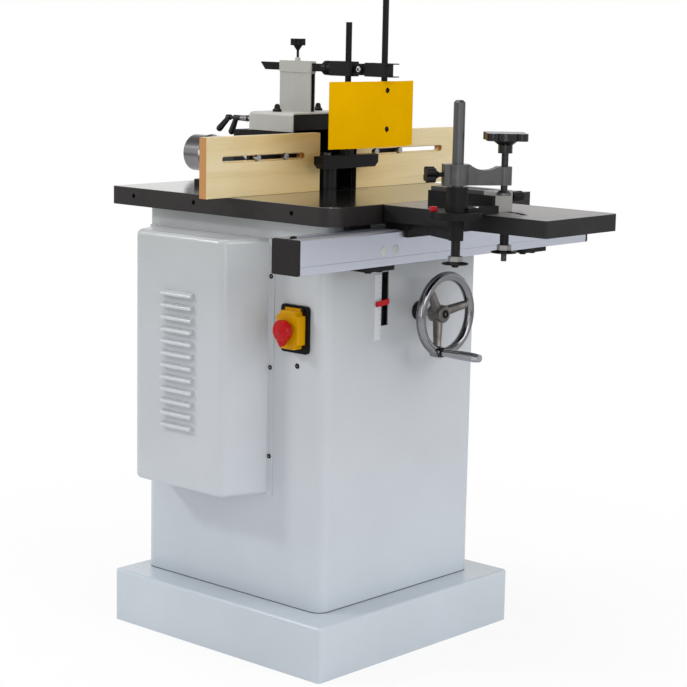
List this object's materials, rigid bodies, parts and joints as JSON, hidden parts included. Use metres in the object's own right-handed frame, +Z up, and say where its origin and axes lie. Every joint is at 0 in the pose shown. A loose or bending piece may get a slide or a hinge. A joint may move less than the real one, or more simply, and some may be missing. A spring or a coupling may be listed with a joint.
{
  "type": "spindle moulder",
  "caption": "Floor-standing spindle moulder with sheet-steel cabinet, cast table, hooded wooden fence, yellow guard, handwheel and a small sliding table with mitre fence and work clamp.",
  "frame": {"origin": "on the floor under the middle of the plinth, at the centre of its anchor holes", "axes": "+X along the fence to the operator's right, +Y to the back, +Z up"},
  "size_m": [0.855, 1.023, 1.242],
  "materials": {
    "cabinet_paint": "satin light grey enamel",
    "table_iron": "ground top, dark edges",
    "ring_steel": "turned",
    "rail_aluminium": "anodised extrusion",
    "black_plastic": "moulded, fine grain",
    "black_iron": "black paint on casting",
    "switch_black": "moulded",
    "switch_yellow": "moulded",
    "stop_red": "moulded",
    "start_green": "moulded",
    "wheel_metal": "polished",
    "machined_steel": "turned",
    "raw_iron": "as cast and machined",
    "motor_paint": "grey enamel",
    "pulley_aluminium": "turned",
    "belt_rubber": "ribbed belt",
    "pointer_red": "gloss",
    "hood_grey": "grey paint on sheet",
    "pipe_metal": "rolled sheet",
    "fence_wood": "birch plywood, lacquered",
    "black_steel": "blackened bar",
    "guard_yellow": "gloss signal yellow",
    "fence_aluminium": "extruded",
    "column_steel": "drawn bar"
  },
  "bodies": {
    "machine_frame": {"base_plinth": "cabinet_paint", "cabinet": "cabinet_paint", "motor_cover": "cabinet_paint", "table": "table_iron", "insert_rings": "ring_steel", "guide_rail": "rail_aluminium", "rail_end_caps": "black_plastic", "rail_brackets": "black_iron", "switch_box": "switch_black", "shaft_bush": "black_iron", "quill_bracket": "raw_iron"},
    "switch_lid": {"switch_lid": "switch_yellow"},
    "stop_button": {"stop_button": "stop_red"},
    "start_button": {"start_button": "start_green"},
    "lift": {"quill": "machined_steel", "motor_plate": "raw_iron", "motor": "motor_paint", "drive_belt": "belt_rubber", "scale_pointer": "pointer_red", "spindle_bearings": "machined_steel"},
    "spindle": {"spindle": "machined_steel", "spindle_pulley": "pulley_aluminium", "spacer_rings": "machined_steel", "spindle_nut": "machined_steel"},
    "motor_rotor": {"motor_pulley": "pulley_aluminium"},
    "handwheel": {"handwheel_shaft": "machined_steel", "handwheel": "wheel_metal"},
    "crank_handle": {"crank_handle": "wheel_metal"},
    "lift_screw": {"lift_screw": "machined_steel"},
    "fence_unit": {"fence_hood": "black_iron", "hood_lid": "hood_grey", "lid_knobs": "black_plastic", "dust_port": "pipe_metal", "board_bolts": "machined_steel", "guard_post": "hood_grey"},
    "left_board": {"left_board": "fence_wood"},
    "right_board": {"right_board": "fence_wood"},
    "left_lock_knob": {"left_lock_knob": "black_plastic"},
    "right_lock_knob": {"right_lock_knob": "black_plastic"},
    "adjuster_knob": {"adjuster_knob": "black_plastic"},
    "guard_arm": {"guard_bar": "black_steel", "rear_clamp": "black_iron", "front_clamp": "black_iron"},
    "bar_lock_knob": {"bar_lock_knob": "black_plastic"},
    "shoe": {"shoe_rod": "black_steel", "pressure_shoe": "black_plastic"},
    "guard": {"guard_rod": "black_steel", "guard_plate": "guard_yellow"},
    "slide": {"slide_table": "table_iron", "slide_carriage": "black_iron"},
    "mitre": {"mitre_base": "raw_iron", "mitre_fence": "fence_aluminium"},
    "pivot_lock": {"pivot_lock": "machined_steel"},
    "front_lock": {"front_lock": "machined_steel"},
    "fence_knob": {"fence_knob": "black_plastic"},
    "clamp_column": {"clamp_column": "column_steel"},
    "clamp_arm": {"clamp_arm": "black_iron"},
    "wing_knob": {"wing_knob": "black_plastic"},
    "clamp_pad": {"clamp_pad": "machined_steel"},
    "clamp_screw": {"clamp_screw": "black_plastic"}
  },
  "joints": [
    {"name": "switch_lid_hinge", "type": "hinge", "parent": "machine_frame", "child": "switch_lid", "pos_m": [-0.2273, -0.152, 0.6683], "axis": [0, 1, 0], "range_deg": [0, 100]},
    {"name": "stop_button_press", "type": "slide", "parent": "switch_lid", "child": "stop_button", "axis": [1, 0, 0], "range_m": [0, 0.004], "stiffness_N_per_m": 800},
    {"name": "start_button_press", "type": "slide", "parent": "machine_frame", "child": "start_button", "axis": [1, 0, 0], "range_m": [0, 0.003], "stiffness_N_per_m": 600},
    {"name": "spindle_lift", "type": "slide", "parent": "machine_frame", "child": "lift", "axis": [0, 0, 1], "range_m": [-0.038, 0.042]},
    {"name": "spindle_spin", "type": "hinge", "parent": "lift", "child": "spindle", "pos_m": [0.055, 0.035, 0.7], "axis": [0, 0, 1], "continuous": true},
    {"name": "motor_spin", "type": "hinge", "parent": "lift", "child": "motor_rotor", "pos_m": [-0.19, 0.072, 0.516], "axis": [0, 0, 1], "continuous": true},
    {"name": "handwheel_turn", "type": "hinge", "parent": "machine_frame", "child": "handwheel", "pos_m": [0.045, -0.287, 0.647], "axis": [0, 1, 0], "range_deg": [-3425, 3785]},
    {"name": "crank_handle_spin", "type": "hinge", "parent": "handwheel", "child": "crank_handle", "pos_m": [0.02272, -0.345, 0.57844], "axis": [0, 1, 0], "continuous": true},
    {"name": "lift_screw_turn", "type": "hinge", "parent": "machine_frame", "child": "lift_screw", "pos_m": [0.045, -0.062, 0.6], "axis": [0, 0, 1], "range_deg": [-3425, 3785]},
    {"name": "fence_slide", "type": "slide", "parent": "machine_frame", "child": "fence_unit", "axis": [0, 1, 0], "range_m": [-0.015, 0.025]},
    {"name": "left_board_slide", "type": "slide", "parent": "fence_unit", "child": "left_board", "axis": [1, 0, 0], "range_m": [-0.04, 0.025]},
    {"name": "right_board_slide", "type": "slide", "parent": "fence_unit", "child": "right_board", "axis": [1, 0, 0], "range_m": [-0.028, 0.012]},
    {"name": "left_lock_turn", "type": "hinge", "parent": "machine_frame", "child": "left_lock_knob", "pos_m": [-0.085, 0.15, 0.88], "axis": [0, 0, 1], "range_deg": [0, 360]},
    {"name": "right_lock_turn", "type": "hinge", "parent": "machine_frame", "child": "right_lock_knob", "pos_m": [0.195, 0.15, 0.88], "axis": [0, 0, 1], "range_deg": [0, 360]},
    {"name": "adjuster_turn", "type": "hinge", "parent": "fence_unit", "child": "adjuster_knob", "pos_m": [-0.004, 0.215, 0.991], "axis": [0, 1, 0], "range_deg": [-1805, 3006]},
    {"name": "guard_arm_slide", "type": "slide", "parent": "fence_unit", "child": "guard_arm", "axis": [0, 1, 0], "range_m": [-0.07, 0.01]},
    {"name": "bar_lock_turn", "type": "hinge", "parent": "fence_unit", "child": "bar_lock_knob", "pos_m": [0.042, 0.101, 1.14], "axis": [0, 0, 1], "range_deg": [0, 360]},
    {"name": "shoe_height", "type": "slide", "parent": "guard_arm", "child": "shoe", "axis": [0, 0, 1], "range_m": [-0.044, 0.09]},
    {"name": "guard_height", "type": "slide", "parent": "guard_arm", "child": "guard", "axis": [0, 0, 1], "range_m": [-0.085, 0.003]},
    {"name": "slide_travel", "type": "slide", "parent": "machine_frame", "child": "slide", "axis": [1, 0, 0], "range_m": [-0.24, 0.34]},
    {"name": "mitre_swivel", "type": "hinge", "parent": "slide", "child": "mitre", "pos_m": [-0.155, -0.466, 0.86], "axis": [0, 0, 1], "range_deg": [-30, 30]},
    {"name": "pivot_lock_turn", "type": "hinge", "parent": "slide", "child": "pivot_lock", "pos_m": [-0.155, -0.466, 0.79], "axis": [0, 0, 1], "range_deg": [0, 360]},
    {"name": "front_lock_turn", "type": "hinge", "parent": "mitre", "child": "front_lock", "pos_m": [-0.033, -0.478, 0.8], "axis": [0, 0, 1], "range_deg": [0, 360]},
    {"name": "fence_knob_turn", "type": "hinge", "parent": "mitre", "child": "fence_knob", "pos_m": [-0.01, -0.468, 0.8843], "axis": [1, 0, 0], "range_deg": [0, 360]},
    {"name": "clamp_column_swing", "type": "hinge", "parent": "mitre", "child": "clamp_column", "pos_m": [-0.155, -0.466, 0.96], "axis": [0, 0, 1], "range_deg": [-60, 0]},
    {"name": "clamp_arm_height", "type": "slide", "parent": "clamp_column", "child": "clamp_arm", "axis": [0, 0, 1], "range_m": [-0.003, 0.095]},
    {"name": "wing_knob_turn", "type": "hinge", "parent": "clamp_arm", "child": "wing_knob", "pos_m": [-0.18777, -0.44306, 0.93], "axis": [-0.8192, 0.5736, 0], "range_deg": [0, 360]},
    {"name": "clamp_pad_height", "type": "slide", "parent": "clamp_arm", "child": "clamp_pad", "axis": [0, 0, 1], "range_m": [-0.022, 0.004]},
    {"name": "clamp_screw_turn", "type": "hinge", "parent": "clamp_pad", "child": "clamp_screw", "pos_m": [-0.08619, -0.51418, 0.96], "axis": [0, 0, 1], "range_deg": [-485, 2645]}
  ],
  "couplings": [
    {"joint": "motor_spin", "follows": "spindle_spin", "ratio": 0.43333},
    {"joint": "handwheel_turn", "follows": "spindle_lift", "rad_per_m": 1570.8},
    {"joint": "lift_screw_turn", "follows": "spindle_lift", "rad_per_m": 1570.8},
    {"joint": "adjuster_turn", "follows": "fence_slide", "rad_per_m": 2094.4},
    {"joint": "clamp_screw_turn", "follows": "clamp_pad_height", "rad_per_m": -2094.4}
  ]
}
